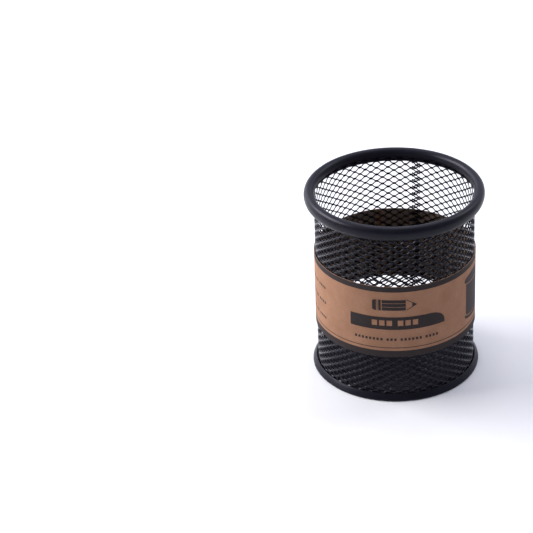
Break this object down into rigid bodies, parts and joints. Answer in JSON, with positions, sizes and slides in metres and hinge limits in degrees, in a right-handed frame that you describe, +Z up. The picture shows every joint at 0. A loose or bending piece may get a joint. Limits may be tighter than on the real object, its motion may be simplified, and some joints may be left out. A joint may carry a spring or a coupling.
{
  "type": "pen holder cup",
  "caption": "Round desk cup of black coated expanded-metal mesh with a rolled tubular rim, a pressed steel base with a hemmed foot, and a card sleeve round its middle.",
  "frame": {"origin": "centre of the foot ring, on the surface that the cup stands on", "axes": "+Z up along the cup's axis; -Y is the front, where the sleeve's printed panel faces"},
  "size_m": [0.09, 0.09, 0.1],
  "materials": {
    "black_powder_coat": "satin",
    "black_coated_mesh": "satin",
    "brown_card": "matte"
  },
  "bodies": {
    "cup": {"rim_ring": "black_powder_coat", "mesh_wall": "black_coated_mesh", "base_pan": "black_powder_coat"},
    "sleeve": {"card_sleeve": "brown_card"}
  },
  "joints": [
    {"name": "sleeve_slide", "type": "slide", "parent": "cup", "child": "sleeve", "axis": [0, 0, 1], "range_m": [-0.021, 0.026]}
  ]
}
